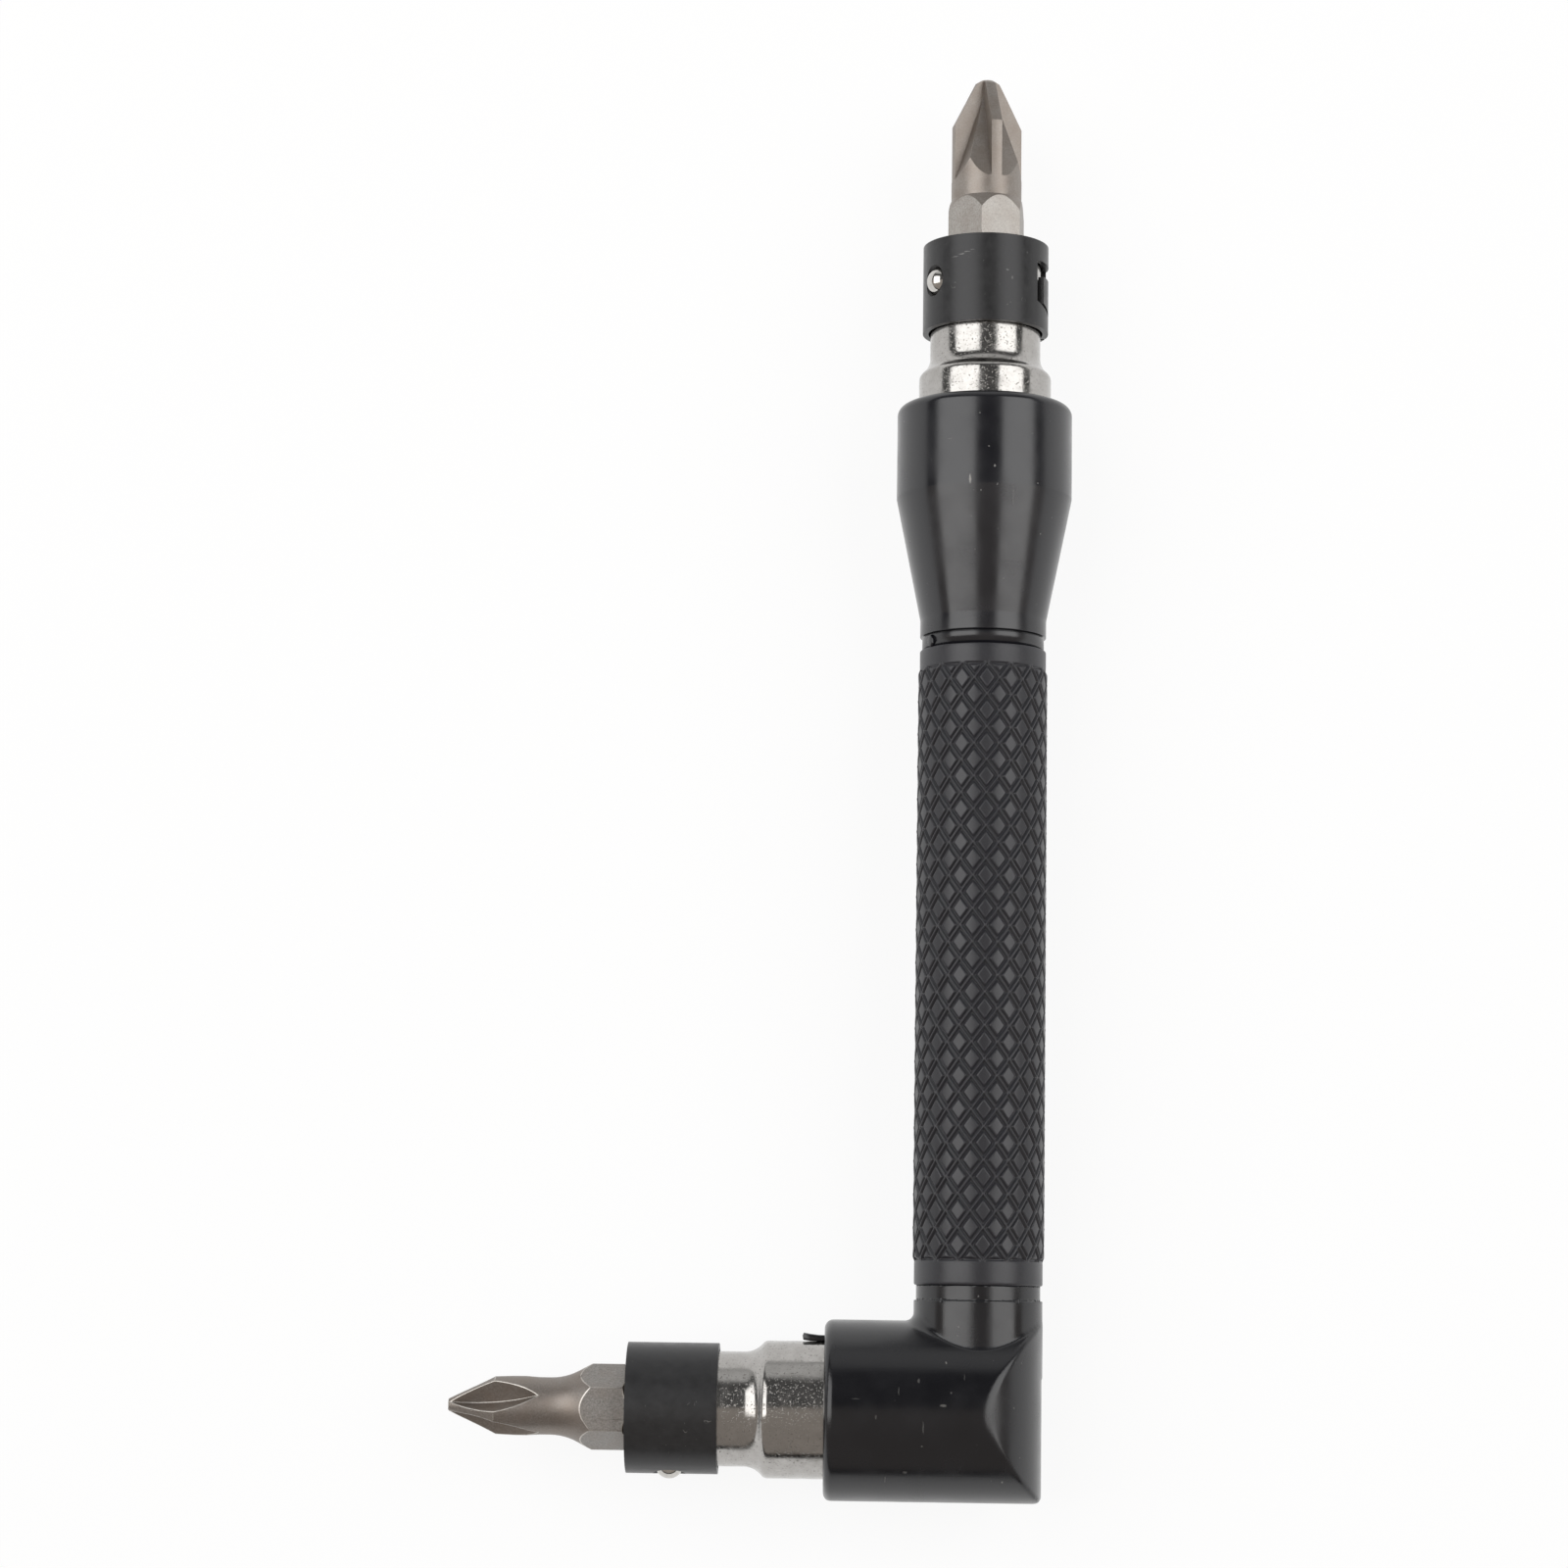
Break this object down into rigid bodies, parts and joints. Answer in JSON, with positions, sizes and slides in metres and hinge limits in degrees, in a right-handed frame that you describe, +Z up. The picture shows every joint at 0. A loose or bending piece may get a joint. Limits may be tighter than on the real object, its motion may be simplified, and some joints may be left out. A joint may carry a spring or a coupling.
{
  "type": "offset screwdriver",
  "caption": "Offset screwdriver with a knurled grip, flared head and angled elbow, whose sprung sockets hold cross-point hex insert bits in line with and square to the handle",
  "frame": {"origin": "centre of the footprint, on the surface that the tool lies on", "axes": "handle along +Y with its bit at the +Y end, short arm along -X, up is +Z"},
  "size_m": [0.053, 0.1252, 0.0154],
  "materials": {
    "moulding": "black moulded glass-filled nylon, satin",
    "grip": "black moulded glass-filled nylon, knurled and matt",
    "core": "drawn hexagon steel bar, bare",
    "socket": "turned steel, bright chrome",
    "spring": "spring steel strip, blackened",
    "ball": "polished bearing steel",
    "bit": "hardened tool steel, bead-blasted"
  },
  "bodies": {
    "handle": {"head_ferrule": "moulding", "grip_sleeve": "grip", "elbow_housing": "moulding", "handle_core": "core", "upper_socket": "socket", "lower_socket": "socket"},
    "upper_detent": {"upper_collar": "spring", "upper_ball": "ball"},
    "lower_detent": {"lower_collar": "spring", "lower_ball": "ball"},
    "upper_bit_body": {"upper_bit": "bit"},
    "lower_bit_body": {"lower_bit": "bit"}
  },
  "joints": [
    {"name": "upper_bit_slide", "type": "slide", "parent": "handle", "child": "upper_bit_body", "axis": [0, 1, 0], "range_m": [0, 0.012]},
    {"name": "lower_bit_slide", "type": "slide", "parent": "handle", "child": "lower_bit_body", "axis": [-1, 0, 0], "range_m": [0, 0.012]},
    {"name": "upper_detent_slide", "type": "slide", "parent": "handle", "child": "upper_detent", "axis": [-0.848, 0, 0.5299], "range_m": [0, 0.00012], "stiffness_N_per_m": 8000, "springref_m": -0.0005},
    {"name": "lower_detent_slide", "type": "slide", "parent": "handle", "child": "lower_detent", "axis": [0, -0.9903, 0.1392], "range_m": [0, 0.00012], "stiffness_N_per_m": 8000, "springref_m": -0.0005}
  ]
}
